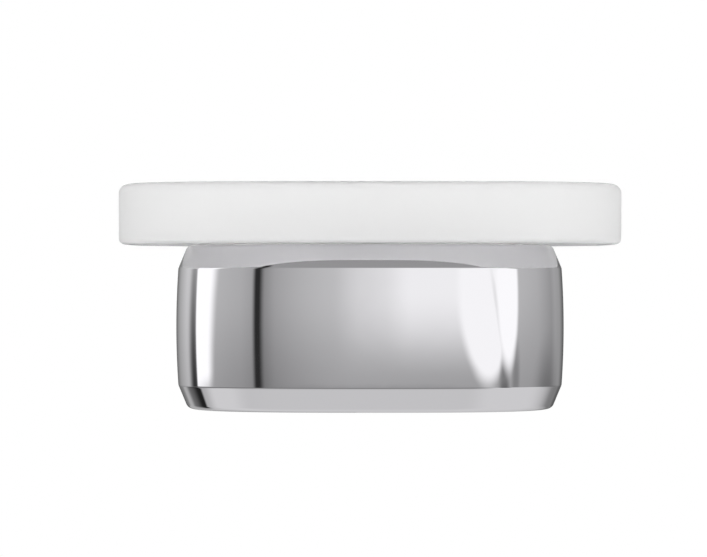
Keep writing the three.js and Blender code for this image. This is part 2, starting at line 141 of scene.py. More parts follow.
world = bpy.data.worlds.new("studio")
bpy.context.scene.world = world
world.use_nodes = True
tree = world.node_tree
tree.nodes.clear()
direction = add_node(tree, "ShaderNodeTexCoord").outputs["Generated"]
axes = add_node(tree, "ShaderNodeSeparateXYZ", {"Vector": direction})
forwards = add_node(tree, "ShaderNodeMath", {0: axes.outputs["Y"], 1: -1}, operation="MULTIPLY")
turn_angle = add_node(
    tree, "ShaderNodeMath", {0: axes.outputs["X"], 1: forwards.outputs[0]}, operation="ARCTAN2"
)
rise_angle = add_node(tree, "ShaderNodeMath", {0: axes.outputs["Z"]}, operation="ARCSINE")
turn = add_node(tree, "ShaderNodeMath", {0: turn_angle.outputs[0]}, operation="DEGREES").outputs[0]
rise = add_node(tree, "ShaderNodeMath", {0: rise_angle.outputs[0]}, operation="DEGREES").outputs[0]
place_in_room = add_node(tree, "ShaderNodeCombineXYZ", {"X": turn, "Y": rise}).outputs[0]


def ramp_over(degrees, stops):
    """Colours along an angle, from stops (degrees, tone)"""
    low, high = stops[0][0], stops[-1][0]
    share = add_node(tree, "ShaderNodeMapRange", {"Value": degrees, "From Min": low, "From Max": high})
    shares = [((at - low) / (high - low), tone) for at, tone in stops]
    return add_node(tree, "ShaderNodeValToRGB", {"Fac": share.outputs[0]}, shares).outputs[0]


def soft_panel(below, tone, edges):
    """Lays a light or shade with straight soft edges over what is below it. Each edge is
    (the angle that it is across, where it starts, where it is full), in degrees"""
    share = 1.0
    for degrees, start, full in edges:
        edge = add_node(
            tree,
            "ShaderNodeMapRange",
            {"Value": degrees, "From Min": start, "From Max": full},
            interpolation_type="SMOOTHSTEP",
        )
        share = add_node(
            tree, "ShaderNodeMath", {0: share, 1: edge.outputs[0]}, operation="MULTIPLY"
        ).outputs[0]
    above = linear(tone) if isinstance(tone, int) else tone
    return add_node(tree, "ShaderNodeMix", {0: share, 6: below, 7: above}, data_type="RGBA").outputs[2]


def soft_disc(below, tone, centre, half_size, edge, tilt=0, opacity=1.0):
    """Lays a round light or shade over what is below it, in degrees round and up"""
    from_centre = add_node(
        tree,
        "ShaderNodeMapping",
        {
            "Vector": place_in_room,
            "Location": (*centre, 0),
            "Rotation": (0, 0, math.radians(tilt)),
            "Scale": (*half_size, 1),
        },
        vector_type="TEXTURE",
    )
    distance = add_node(
        tree, "ShaderNodeVectorMath", {0: from_centre.outputs[0]}, operation="LENGTH"
    )
    inside = add_node(
        tree,
        "ShaderNodeMapRange",
        {
            "Value": distance.outputs["Value"],
            "From Min": 1 + edge,
            "From Max": 1 - edge,
            "To Max": opacity,
        },
        interpolation_type="SMOOTHSTEP",
    )
    return add_node(
        tree,
        "ShaderNodeMix",
        {0: inside.outputs[0], 6: below, 7: linear(tone)},
        data_type="RGBA",
    ).outputs[2]


walls = ramp_over(turn, WALL_TONES)
low_walls = add_node(
    tree,
    "ShaderNodeMix",
    {0: 1.0, 6: walls, 7: (WALL_FADE, WALL_FADE, WALL_FADE, 1)},
    data_type="RGBA",
    blend_type="MULTIPLY",
).outputs[2]
walls_round = soft_panel(low_walls, walls, [(rise, *WALL_FADE_HEIGHTS)])
# a pool of light on the front wall, from straight ahead to the right
room = soft_panel(walls_round, 0xECECEC, [(turn, -4, 5), (turn, 66, 58), (rise, -9, 5)])
# the two round lights at the right, a faint edge where they overlap, and the shade under them;
# past them the wall is plain again
room = soft_disc(room, 0xF4F4F4, (40.5, 5), (19.3, 13.7), 0.12)
room = soft_disc(room, 0xD8D8D8, (49.5, 0), (9, 1.3), 0.6, tilt=-48, opacity=0.75)
room = soft_panel(room, walls_round, [(turn, 64, 71)])
room = soft_disc(room, 0x787878, (55.5, -9.5), (4.5, 5), 0.6)
room = soft_disc(room, 0x808080, (68.5, -8), (4, 4), 0.7)
room = soft_disc(room, 0xFAFAFA, (59, 5), (11.2, 11.2), 0.18)
# the dark gap beside the soft box at the left, and the soft box, narrower towards its foot
room = soft_disc(room, 0x282828, (-118, -16), (9.5, 20), 0.6)
leaning = add_node(
    tree, "ShaderNodeMath", {0: rise, 1: -SOFT_BOX_LEAN, 2: turn}, operation="MULTIPLY_ADD"
).outputs[0]
room = soft_panel(room, 0xFFFFFF, [(turn, -114, -110.5), (leaning, -77, -91), (rise, -9, -5.5)])
# the right wall's foot lies in shade
room = soft_disc(room, 0x606060, (125, -8), (22, 4.5), 0.7, opacity=0.8)
room = soft_panel(
    ramp_over(rise, FLOOR_AND_CEILING_TONES),
    room,
    [(rise, *FLOOR_EDGE), (rise, *reversed(CEILING_EDGE))],
)
# the floor is lighter where the lights fall on it and behind, with a dark spot under the round
# lights, and the dark gap goes on down over it
room = soft_panel(room, 0xCACACA, [(turn, -112, -95), (turn, -50, -75), (rise, -18, -32)])
room = soft_panel(room, 0xC9C9C9, [(turn, 30, 52), (turn, 155, 95), (rise, -9.5, -12)])
room = soft_disc(room, 0x303030, (57, -11.5), (6, 2.5), 0.6)
room = soft_panel(room, 0xA4A4A4, [(turn, -138, -150), (rise, -64, -52), (rise, -9, -12)])
room = soft_panel(
    room, 0x202020, [(turn, -152, -123), (turn, -114, -119), (rise, -42, -30), (rise, -11, -16)]
)
# the dark stand left of the camera, from floor to ceiling
room = soft_panel(room, 0x2A2A2A, [(turn, -41, -37.2), (turn, -31, -35.4), (rise, -14, -9)])
mirrored = add_node(tree, "ShaderNodeBackground", {"Color": room, "Strength": ROOM_STRENGTH})
soft_tone = soft_panel(
    linear(SOFT_TONE_ABOVE_AND_BELOW),
    ramp_over(turn, SOFT_TONES),
    [(rise, -90, -SOFT_FADE_FROM), (rise, 90, SOFT_FADE_FROM)],
)
soft_light = add_node(tree, "ShaderNodeBackground", {"Color": soft_tone, "Strength": SOFT_STRENGTH})
seen = add_node(tree, "ShaderNodeBackground", {"Color": (1, 1, 1, 1)})
path = add_node(tree, "ShaderNodeLightPath")
# light that comes through frosted glass is soft too, so only true reflections see the room
in_mirror = add_node(
    tree,
    "ShaderNodeMath",
    {0: path.outputs["Is Glossy Ray"], 1: path.outputs["Is Transmission Ray"]},
    operation="SUBTRACT",
    use_clamp=True,
)
all_light = add_node(
    tree,
    "ShaderNodeMixShader",
    {"Fac": in_mirror.outputs[0], 1: soft_light.outputs[0], 2: mirrored.outputs[0]},
)
behind_object = add_node(
    tree,
    "ShaderNodeMixShader",
    {"Fac": path.outputs["Is Camera Ray"], 1: all_light.outputs[0], 2: seen.outputs[0]},
)
add_node(tree, "ShaderNodeOutputWorld", {"Surface": behind_object.outputs[0]})
bpy.context.scene.view_settings.view_transform = "Standard"

# The floor is painted board. It is only a backdrop: it stands far below, and neither its light nor
# its mirror image reaches the object.
FLOOR_HEIGHT = -900 * MM
FLOOR_SIZE = 12000 * MM

bpy.ops.object.select_all(action="DESELECT")
bpy.ops.mesh.primitive_plane_add(size=FLOOR_SIZE, location=(0, 0, FLOOR_HEIGHT))
floor = bpy.context.object
floor.name = "studio_floor"
floor.visible_glossy = False
floor.visible_diffuse = False
floor.visible_transmission = False
floor.visible_shadow = False
floor_paint = bpy.data.materials.new("matt_white_floor_paint")
floor_paint.use_nodes = True
shader = floor_paint.node_tree.nodes["Principled BSDF"]
shader.inputs["Base Color"].default_value = linear(0xF2F2F2)
shader.inputs["Roughness"].default_value = 0.9
floor.data.materials.append(floor_paint)


# The wall plugs
# Grey nylon sleeves, moulded in one piece and pushed into drilled holes in the wall. Sawtooth
# ridges grip the masonry, and the far half is split so that the screw spreads it.
PLUG_RADIUS = 4 * MM
PLUG_BORE = 2.55 * MM
PLUG_START = 0.5 * MM
PLUG_LENGTH = 40 * MM
PLUG_TIP_RADIUS = 3.2 * MM
PLUG_RIDGE = 0.45 * MM
PLUG_RIDGE_COUNT = 7
PLUG_PLAIN_END = 6 * MM
PLUG_SPLIT_LENGTH = 26 * MM
PLUG_SPLIT_WIDTH = 1 * MM
PLUG_EDGE_RADIUS = 0.25 * MM
PLUG_RIDGE_RADIUS = 0.08 * MM
PLUG_SHOULDER_RADIUS = 1 * MM
SCREW_X = 23 * MM
TURNED_STEPS = 64
STEPS_PER_RIGHT_ANGLE = 16
SMALL_PART_STEPS_PER_RIGHT_ANGLE = 4
# The narrow strip beside each rounding that keeps the flats' shading flat
SUPPORT = 0.08 * MM
# How far a cutter reaches past what it cuts
OVERRUN = 12 * MM
SMOOTH_ANGLE = math.radians(30)
MERGE_DISTANCE = 0.001 * MM
SHORTEST_EDGE = 0.0005 * MM
# The middle part of a noise, over which a finish drifts from one tone to the other
DRIFT_FROM = 0.3
DRIFT_TO = 0.7


def rounded(corners, steps_per_right_angle=STEPS_PER_RIGHT_ANGLE):
    """A path through corners (across, along, radius), each rounded by its radius"""
    path = []
    for i, (across, along, radius) in enumerate(corners):
        at = Vector((across, along))
        if not radius:
            path.append(at)
            continue
        back = (Vector(corners[i - 1][:2]) - at).normalized()
        on = (Vector(corners[(i + 1) % len(corners)][:2]) - at).normalized()
        half = math.acos(back.dot(on)) / 2
        centre = at + (back + on).normalized() * radius / math.sin(half)
        start = at + back * radius / math.tan(half) - centre
        end = at + on * radius / math.tan(half) - centre
        sweep = math.atan2(start.x * end.y - start.y * end.x, start.dot(end))
        steps = max(1, round(abs(sweep) / (math.pi / 2) * steps_per_right_angle))
        path.append(centre + start + back * SUPPORT)
        for step in range(steps + 1):
            cosine = math.cos(sweep * step / steps)
            sine = math.sin(sweep * step / steps)
            path.append(
                centre
                + Vector((start.x * cosine - start.y * sine, start.x * sine + start.y * cosine))
            )
        path.append(centre + end + on * SUPPORT)
    return path


def add_outline(name, points):
    """A flat face whose edge runs through the points, selected in edit mode"""
    bpy.ops.object.select_all(action="DESELECT")
    bpy.ops.mesh.primitive_circle_add(vertices=len(points), fill_type="NGON")
    piece = bpy.context.object
    piece.name = piece.data.name = name
    for vertex, point in zip(piece.data.vertices, points):
        vertex.co = point
    bpy.ops.object.mode_set(mode="EDIT")
    bpy.ops.mesh.select_all(action="SELECT")
    return piece


def close_up(piece):
    """Joins what touches, fills open ends, turns all faces outwards and leaves edit mode"""
    bpy.ops.mesh.select_all(action="SELECT")
    bpy.ops.mesh.remove_doubles(threshold=MERGE_DISTANCE)
    bpy.ops.mesh.dissolve_degenerate(threshold=SHORTEST_EDGE)
    bpy.ops.mesh.fill_holes(sides=0)
    bpy.ops.mesh.select_all(action="SELECT")
    bpy.ops.mesh.normals_make_consistent(inside=False)
    bpy.ops.object.mode_set(mode="OBJECT")
    return piece


def turned(name, profile):
    """A closed body turned about Y, from profile points (radius, place along Y)"""
    piece = add_outline(name, [(radius, along, 0) for radius, along in profile])
    bpy.ops.mesh.delete(type="ONLY_FACE")
    bpy.ops.mesh.select_all(action="SELECT")
    bpy.ops.mesh.spin(steps=TURNED_STEPS, angle=2 * math.pi, center=(0, 0, 0), axis=(0, 1, 0))
    return close_up(piece)


def box(name, size, centre):
    """A block with square edges"""
    bpy.ops.object.select_all(action="DESELECT")
    bpy.ops.mesh.primitive_cube_add(size=1, location=centre, scale=size)
    piece = bpy.context.object
    piece.name = piece.data.name = name
    bpy.ops.object.transform_apply(location=True, rotation=True, scale=True)
    return piece


def apply_modifier(piece, kind, **settings):
    """Gives a piece a modifier with its settings, and applies it"""
    modifier = piece.modifiers.new(kind.lower(), kind)
    for name, value in settings.items():
        setattr(modifier, name, value)
    bpy.context.view_layer.objects.active = piece
    bpy.ops.object.modifier_apply(modifier=modifier.name)


def combine(piece, operation, *others):
    """Cuts other bodies out of a piece, or welds them to it, and uses them up"""
    for other in others:
        apply_modifier(
            piece,
            "BOOLEAN",
            object=other,
            operation=operation,
            solver="EXACT",
            material_mode="TRANSFER",
        )
        bpy.data.objects.remove(other)


def put(piece, x=0, y=0, tilt=0):
    """Tilts a piece about X, moves it, and puts both into its mesh"""
    piece.rotation_euler.x = math.radians(tilt)
    piece.location = (x, y, 0)
    bpy.ops.object.select_all(action="DESELECT")
    piece.select_set(True)
    bpy.context.view_layer.objects.active = piece
    bpy.ops.object.transform_apply(location=True, rotation=True, scale=True)


def dress(piece, material=None):
    """Shades a piece smooth, but keeps its sharp edges, and gives it one material all over if
    one is named"""
    bpy.ops.object.select_all(action="DESELECT")
    piece.select_set(True)
    bpy.context.view_layer.objects.active = piece
    bpy.ops.object.shade_smooth_by_angle(angle=SMOOTH_ANGLE)
    if material:
        piece.data.materials.clear()
        piece.data.materials.append(material)


def add_pair(piece, name, material, body, node):
    """Puts the piece at the left screw's place and a copy with its own mesh at the right one's"""
    twin = piece.copy()
    twin.data = piece.data.copy()
    bpy.context.scene.collection.objects.link(twin)
    for each, side, x in ((piece, "left", -SCREW_X), (twin, "right", SCREW_X)):
        each.name = each.data.name = f"{name}_{side}"
        put(each, x=x)
        dress(each, material)
        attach(each, body)
        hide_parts(f"{node}_{side}")


def new_material(name, colour, roughness, metallic=0):
    """A material, with its sRGB colour, and its shader"""
    material = bpy.data.materials.new(name)
    material.use_nodes = True
    shader = material.node_tree.nodes["Principled BSDF"]
    shader.inputs["Base Color"].default_value = linear(colour)
    shader.inputs["Roughness"].default_value = roughness
    shader.inputs["Metallic"].default_value = metallic
    return material, shader


def let_light_in(shader, weight, depth, ior):
    """Lets a share of the light into a body, in all its colours alike, to a depth"""
    shader.inputs["IOR"].default_value = ior
    shader.inputs["Subsurface Weight"].default_value = weight
    shader.inputs["Subsurface Radius"].default_value = (1, 1, 1)
    shader.inputs["Subsurface Scale"].default_value = depth


def add_finish(material, shader, tones, tone_patches, roughness, grain, grain_depth):
    """Gives a surface what its making leaves on it: a colour that drifts between two tones over
    patches, a roughness that drifts with it, and a grain. Patches, grain and depth are lengths"""
    tree = material.node_tree
    where = add_node(tree, "ShaderNodeTexCoord").outputs["Object"]
    patches = add_node(
        tree,
        "ShaderNodeTexNoise",
        {"Vector": where, "Scale": 1 / tone_patches, "Detail": 3, "Roughness": 0.55},
    )
    drift = add_node(
        tree,
        "ShaderNodeMapRange",
        {"Value": patches.outputs[0], "From Min": DRIFT_FROM, "From Max": DRIFT_TO},
    )
    colour = add_node(
        tree,
        "ShaderNodeMix",
        {0: drift.outputs[0], 6: linear(tones[0]), 7: linear(tones[1])},
        data_type="RGBA",
    )
    tree.links.new(colour.outputs[2], shader.inputs["Base Color"])
    dullness = add_node(
        tree,
        "ShaderNodeMapRange",
        {"Value": drift.outputs[0], "To Min": roughness[0], "To Max": roughness[1]},
    )
    tree.links.new(dullness.outputs[0], shader.inputs["Roughness"])
    grains = add_node(
        tree, "ShaderNodeTexNoise", {"Vector": where, "Scale": 1 / grain, "Detail": 4}
    )
    bump = add_node(
        tree, "ShaderNodeBump", {"Height": grains.outputs[0], "Distance": grain_depth, "Strength": 1}
    )
    tree.links.new(bump.outputs[0], shader.inputs["Normal"])


plug_end = PLUG_START + PLUG_LENGTH
ridge_pitch = (PLUG_LENGTH - 2 * PLUG_PLAIN_END) / PLUG_RIDGE_COUNT
corners = [(PLUG_BORE, PLUG_START, PLUG_EDGE_RADIUS), (PLUG_RADIUS, PLUG_START, PLUG_EDGE_RADIUS)]
for i in range(PLUG_RIDGE_COUNT):
    ridge_start = PLUG_START + PLUG_PLAIN_END + i * ridge_pitch
    corners.append((PLUG_RADIUS, ridge_start, PLUG_RIDGE_RADIUS))
    corners.append((PLUG_RADIUS - PLUG_RIDGE, ridge_start + PLUG_RIDGE, PLUG_RIDGE_RADIUS))
corners.append((PLUG_RADIUS, plug_end - PLUG_PLAIN_END, PLUG_SHOULDER_RADIUS))
corners.append((PLUG_TIP_RADIUS, plug_end, PLUG_EDGE_RADIUS))
corners.append((PLUG_BORE, plug_end, PLUG_EDGE_RADIUS))
plug = turned("wall_plug", rounded(corners, SMALL_PART_STEPS_PER_RIGHT_ANGLE))
split = box(
    "plug_split",
    (PLUG_SPLIT_WIDTH, PLUG_SPLIT_LENGTH + OVERRUN, 4 * PLUG_RADIUS),
    (0, plug_end - PLUG_SPLIT_LENGTH / 2 + OVERRUN / 2, 0),
)
combine(plug, "DIFFERENCE", split)

# Nylon 6, dyed through and moulded: a soft waxy sheen, the mould's fine spark-eroded grain and
# pale flow marks. It lets a little light in.
nylon, shader = new_material("moulded_grey_nylon", 0x9A9C9B, 0.45)
let_light_in(shader, weight=0.15, depth=1 * MM, ior=1.53)
add_finish(
    nylon,
    shader,
    tones=(0x929493, 0xA4A6A5),
    tone_patches=9 * MM,
    roughness=(0.38, 0.52),
    grain=0.35 * MM,
    grain_depth=0.03 * MM,
)
add_pair(plug, "nylon_wall_plug", nylon, "holder", "wall_plug")


# The wall plate
# A die-cast zinc block that is screwed to the wall and stays hidden in the holder. Its edges
# slope in towards the wall, so the hook above and the grub screw below pull the holder tight.
PLATE_WIDTH = 72 * MM
PLATE_HEIGHT = 26 * MM
PLATE_THICKNESS = 7 * MM
PLATE_EDGE_SLOPE = 2.5 * MM
PLATE_CORNER_RADIUS = 4 * MM
PLATE_EDGE_RADIUS = 0.4 * MM
SCREW_HOLE_RADIUS = 2.6 * MM
SLOT_TRAVEL = 4 * MM
COUNTERBORE_RADIUS = 6.8 * MM
COUNTERBORE_DEPTH = 3 * MM
COUNTERBORE_FLOOR_FILLET = 0.3 * MM
SCREW_HOLE_EDGE_RADIUS = 0.2 * MM
HOLE_CHAMFER = 0.3 * MM
EJECTOR_MARK_RADIUS = 2 * MM
EJECTOR_MARK_DEPTH = 0.15 * MM
EJECTOR_MARK_X = 9 * MM
ROUND_STEPS = 48


def rounded_bar(width, height, radius):
    """Points round a rectangle with rounded corners, counterclockwise; a circle has no straights"""
    points = []
    for i in range(ROUND_STEPS):
        angle = 2 * math.pi * (i + 0.5) / ROUND_STEPS
        middle_x = math.copysign(width / 2 - radius, math.cos(angle))
        middle_y = math.copysign(height / 2 - radius, math.sin(angle))
        points.append(
            Vector((middle_x + radius * math.cos(angle), middle_y + radius * math.sin(angle)))
        )
    return points


def draw_half(name, outline, corners, facing):
    """Draws a flat face in along its normal, up or down, through corners (inset, height, radius)"""
    points = outline if facing > 0 else list(reversed(outline))
    (inset, height), *path = rounded(corners)
    piece = add_outline(name, [(point.x, point.y, height) for point in points])
    for next_inset, next_height in path:
        bpy.ops.mesh.inset(
            thickness=max(0, next_inset - inset), depth=facing * (next_height - height)
        )
        inset, height = next_inset, next_height
    return piece


def joined(pieces):
    """Makes one object of several, without welding them"""
    bpy.ops.object.select_all(action="DESELECT")
    for piece in pieces:
        piece.select_set(True)
    bpy.context.view_layer.objects.active = pieces[0]
    bpy.ops.object.join()
    return pieces[0]


def drawn(name, outline, upper, lower=None, hole=False):
    """A closed body, drawn up and then down from its widest outline"""
    halves = []
    for corners, facing in ((upper, 1), (lower, -1)):
        if corners:
            halves.append(draw_half(name, outline, corners, facing))
            if hole:
                bpy.ops.mesh.delete(type="ONLY_FACE")
            bpy.ops.object.mode_set(mode="OBJECT")
    piece = joined(halves)
    bpy.ops.object.mode_set(mode="EDIT")
    return close_up(piece)


plate = drawn(
    "zinc_wall_plate",
    rounded_bar(PLATE_WIDTH, PLATE_HEIGHT, PLATE_CORNER_RADIUS),
    [
        (0, PLATE_THICKNESS - PLATE_EDGE_RADIUS - 2 * SUPPORT, 0),
        (0, PLATE_THICKNESS, PLATE_EDGE_RADIUS),
        (4 * PLATE_EDGE_RADIUS, PLATE_THICKNESS, 0),
    ],
    [
        (0, PLATE_THICKNESS - PLATE_EDGE_RADIUS - 2 * SUPPORT, 0),
        (PLATE_EDGE_SLOPE, 0, PLATE_EDGE_RADIUS),
        (PLATE_EDGE_SLOPE + 4 * PLATE_EDGE_RADIUS, 0, 0),
    ],
)
for x, travel in ((-SCREW_X, 0), (SCREW_X, SLOT_TRAVEL)):
    wide = COUNTERBORE_RADIUS + HOLE_CHAMFER
    step_in = COUNTERBORE_RADIUS - SCREW_HOLE_RADIUS
    counterbore_floor = PLATE_THICKNESS - COUNTERBORE_DEPTH
    hole = drawn(
        "plate_hole",
        rounded_bar(2 * wide + travel, 2 * wide, wide),
        [],
        [
            (0, PLATE_THICKNESS + OVERRUN, 0),
            (0, PLATE_THICKNESS, 0),
            (HOLE_CHAMFER, PLATE_THICKNESS - HOLE_CHAMFER, 0),
            (HOLE_CHAMFER, counterbore_floor, COUNTERBORE_FLOOR_FILLET),
            (HOLE_CHAMFER + step_in, counterbore_floor, SCREW_HOLE_EDGE_RADIUS),
            (HOLE_CHAMFER + step_in, -OVERRUN, 0),
        ],
    )
    put(hole, x=x)
    combine(plate, "DIFFERENCE", hole)
for x in (-EJECTOR_MARK_X, EJECTOR_MARK_X):
    mark = drawn(
        "ejector_mark",
        rounded_bar(2 * EJECTOR_MARK_RADIUS, 2 * EJECTOR_MARK_RADIUS, EJECTOR_MARK_RADIUS),
        [(0, -OVERRUN, 0), (0, EJECTOR_MARK_DEPTH, 0)],
    )
    put(mark, x=x)
    combine(plate, "DIFFERENCE", mark)
put(plate, tilt=90)

# Zinc alloy as it leaves the die, tumbled but not plated: dull grey, with cloudy flow marks and
# a fine pitted skin.
zinc, shader = new_material("bare_cast_zinc", 0x9B9EA1, 0.45, metallic=1)
add_finish(
    zinc,
    shader,
    tones=(0x8C8F92, 0xA9ACAF),
    tone_patches=7 * MM,
    roughness=(0.36, 0.55),
    grain=0.5 * MM,
    grain_depth=0.05 * MM,
)
dress(plate, zinc)
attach(plate, "holder")
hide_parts("wall_plate")


# The washers
# Stainless steel rings, stamped from sheet and tumbled, that spread each screw's head over the
# plate's hole. They lie in the plate's recesses.
WASHER_RADIUS = 6 * MM
WASHER_THICKNESS = 1.2 * MM
WASHER_HOLE_RADIUS = 2.6 * MM
WASHER_EDGE_RADIUS = 0.2 * MM

washer_back = -(PLATE_THICKNESS - COUNTERBORE_DEPTH)
head_seat = washer_back - WASHER_THICKNESS
washer = turned(
    "steel_washer",
    rounded(
        [
            (WASHER_HOLE_RADIUS, head_seat, WASHER_EDGE_RADIUS),
            (WASHER_RADIUS, head_seat, WASHER_EDGE_RADIUS),
            (WASHER_RADIUS, washer_back, WASHER_EDGE_RADIUS / 2),
            (WASHER_HOLE_RADIUS, washer_back, WASHER_EDGE_RADIUS / 2),
        ],
        SMALL_PART_STEPS_PER_RIGHT_ANGLE,
    ),
)

# Stainless steel, cold formed and tumbled: a grey shine with soft small dents.
steel, shader = new_material("tumbled_stainless_steel", 0xB9BBBD, 0.3, metallic=1)
add_finish(
    steel,
    shader,
    tones=(0xB2B4B6, 0xC2C4C6),
    tone_patches=3 * MM,
    roughness=(0.22, 0.36),
    grain=0.25 * MM,
    grain_depth=0.008 * MM,
)
add_pair(washer, "stainless_washer", steel, "holder", "screw_washer")


# The wall screws
# Round-headed stainless steel wood screws with a cross recess. The head and the recess are
# forged, and the thread is rolled, so it stands out from a thinner core and runs out on the point.
SCREW_RADIUS = 2.25 * MM
SCREW_CORE_RADIUS = 1.55 * MM
SCREW_LENGTH = 43 * MM
SCREW_POINT_LENGTH = 7 * MM
SCREW_PLAIN_LENGTH = 6 * MM
SCREW_PITCH = 1.9 * MM
SCREW_HEAD_RADIUS = 4.4 * MM
SCREW_HEAD_HEIGHT = 3.2 * MM
SCREW_HEAD_DOME = 1.6 * MM
SCREW_HEAD_FLAT_RADIUS = 1.8 * MM
SCREW_HEAD_EDGE_RADIUS = 0.25 * MM
SCREW_NECK_FILLET = 0.3 * MM
CROSS_WIDTH = 1.1 * MM
CROSS_SPAN = 4.6 * MM
CROSS_DEPTH = 1.9 * MM
CROSS_BOTTOM_SHARE = 0.45
DOME_STEPS = 8
THREAD_STEPS = 32
THREAD_RUN_IN = 1 * MM
THREAD_ROOM = 1 * MM
# Half the ridge's width at its root and at its crest, as shares of the pitch
THREAD_ROOT_SHARE = 0.42
THREAD_CREST_SHARE = 0.06
THREAD_WELD_DEPTH = 0.1 * MM


def add_thread(core, core_radius, crest_radius, pitch, start, turns, envelope):
    """Winds a sharp ridge round a body turned about Y and welds it on, cut to an envelope"""
    root = THREAD_ROOT_SHARE * pitch
    crest = THREAD_CREST_SHARE * pitch
    sunk = core_radius - THREAD_WELD_DEPTH
    section = [(sunk, -root), (sunk, root), (crest_radius, crest), (crest_radius, -crest)]
    ridge = add_outline("thread_ridge", [(radius, start + along, 0) for radius, along in section])
    bpy.ops.mesh.delete(type="ONLY_FACE")
    bpy.ops.object.mode_set(mode="OBJECT")
    apply_modifier(
        ridge,
        "SCREW",
        axis="Y",
        screw_offset=pitch,
        iterations=turns,
        steps=THREAD_STEPS,
        render_steps=THREAD_STEPS,
    )
    bpy.ops.object.mode_set(mode="EDIT")
    close_up(ridge)
    combine(ridge, "INTERSECT", envelope)
    combine(core, "UNION", ridge)


head_top = head_seat - SCREW_HEAD_HEIGHT
screw_tip = head_seat + SCREW_LENGTH
profile = [Vector((0, head_top))]
for step in range(DOME_STEPS + 1):
    angle = step / DOME_STEPS * math.pi / 2
    outwards = (SCREW_HEAD_RADIUS - SCREW_HEAD_FLAT_RADIUS) * math.sin(angle)
    down = SCREW_HEAD_DOME * (1 - math.cos(angle))
    profile.append(Vector((SCREW_HEAD_FLAT_RADIUS + outwards, head_top + down)))
thread_start = head_seat + SCREW_PLAIN_LENGTH
profile += rounded(
    [
        (SCREW_HEAD_RADIUS, head_seat - SCREW_HEAD_DOME / 2, 0),
        (SCREW_HEAD_RADIUS, head_seat, SCREW_HEAD_EDGE_RADIUS),
        (SCREW_RADIUS, head_seat, SCREW_NECK_FILLET),
        (SCREW_RADIUS, thread_start, 0),
        (SCREW_CORE_RADIUS, thread_start + THREAD_RUN_IN, 0),
        (SCREW_CORE_RADIUS, screw_tip - SCREW_POINT_LENGTH, 0),
        (0, screw_tip, 0),
    ],
    SMALL_PART_STEPS_PER_RIGHT_ANGLE,
)
screw = turned("wall_screw", profile)
# what the thread fills: wide along the shank, and down to a point at the tip
envelope = turned(
    "thread_envelope",
    [
        (0, thread_start - THREAD_RUN_IN),
        (SCREW_RADIUS + THREAD_ROOM, thread_start - THREAD_RUN_IN),
        (SCREW_RADIUS + THREAD_ROOM, screw_tip - SCREW_POINT_LENGTH - 2 * THREAD_ROOM),
        (0, screw_tip),
    ],
)
whole_turns = int((SCREW_LENGTH - SCREW_PLAIN_LENGTH) / SCREW_PITCH) - 1
add_thread(
    screw, SCREW_CORE_RADIUS, SCREW_RADIUS, SCREW_PITCH, thread_start, whole_turns, envelope
)
# the cross recess narrows towards its bottom, the face that looks along the screw
for across, up in ((CROSS_SPAN, CROSS_WIDTH), (CROSS_WIDTH, CROSS_SPAN)):
    cross = box("cross_recess", (across, 2 * CROSS_DEPTH, up), (0, head_top, 0))
    bpy.ops.object.mode_set(mode="EDIT")
    bpy.ops.mesh.select_all(action="DESELECT")
    bpy.ops.object.mode_set(mode="OBJECT")
    for face in cross.data.polygons:
        face.select = face.normal.y > 0.9
    bpy.ops.object.mode_set(mode="EDIT")
    bpy.ops.transform.resize(value=(CROSS_BOTTOM_SHARE, 1, CROSS_BOTTOM_SHARE))
    bpy.ops.object.mode_set(mode="OBJECT")
    combine(screw, "DIFFERENCE", cross)
add_pair(screw, "stainless_wall_screw", steel, "holder", "wall_screw")


# The chromed holder
# Die-cast zinc, polished, then plated with copper, nickel and chrome, so it mirrors the room.
# It hangs on the wall plate by the hook under its top; the back is open to the wall.
HOLDER_WIDTH = 108.4 * MM
HOLDER_HEIGHT = 45.3 * MM
HOLDER_FRONT_REACH = 48.5 * MM
HOLDER_REAR_REACH = 56 * MM
HOLDER_FULLNESS = 3.05
BAND_BULGE = 0.57 * MM
BEVEL_HEIGHT = 6.45 * MM
BEVEL_INSET = 2.67 * MM
CREASE_RADIUS = 1.6 * MM
HOLDER_EDGE_RADIUS = 1.8 * MM
HOLDER_WALL = 3 * MM
CAVITY_CORNER_RADIUS = 2 * MM
POCKET_WIDTH = 72 * MM
POCKET_LENGTH = 60 * MM
POCKET_FULLNESS = 3
POCKET_DEPTH = 5.5 * MM
POCKET_WALL = 2.5 * MM
POCKET_CORNER_RADIUS = 1 * MM
TUB_CORNER_RADIUS = 1.5 * MM
TUB_FLAT_INSET = 4 * MM
SEAT_FLANGE_WIDTH = 5 * MM
SEAT_FLANGE_THICKNESS = 1.6 * MM
SEAT_STANDS_PROUD = 0.25 * MM
HOOK_WIDTH = 60 * MM
HOOK_THICKNESS = 5 * MM
HOOK_WALL_GAP = 0.5 * MM
HOOK_EDGE_RADIUS = 0.4 * MM
HOOK_EDGE_STEPS = 3
GRUB_RADIUS = 2.5 * MM
GRUB_FROM_WALL = 5.5 * MM
BOSS_RADIUS = 5 * MM
BOSS_HEIGHT = 4.3 * MM
BOSS_EDGE_RADIUS = 0.5 * MM
CLEARANCE = 0.3 * MM
HOLDER_POINTS = 384
POCKET_POINTS = 192
BAND_STEPS = 14


def superellipse(width, length, fullness, count):
    """Points round a superellipse, counterclockwise from +X"""
    points = []
    for i in range(count):
        angle = 2 * math.pi * i / count
        across, along = math.cos(angle), math.sin(angle)
        x = math.copysign(abs(across) ** (2 / fullness), across) * width / 2
        y = math.copysign(abs(along) ** (2 / fullness), along) * length / 2
        points.append(Vector((x, y)))
    return points


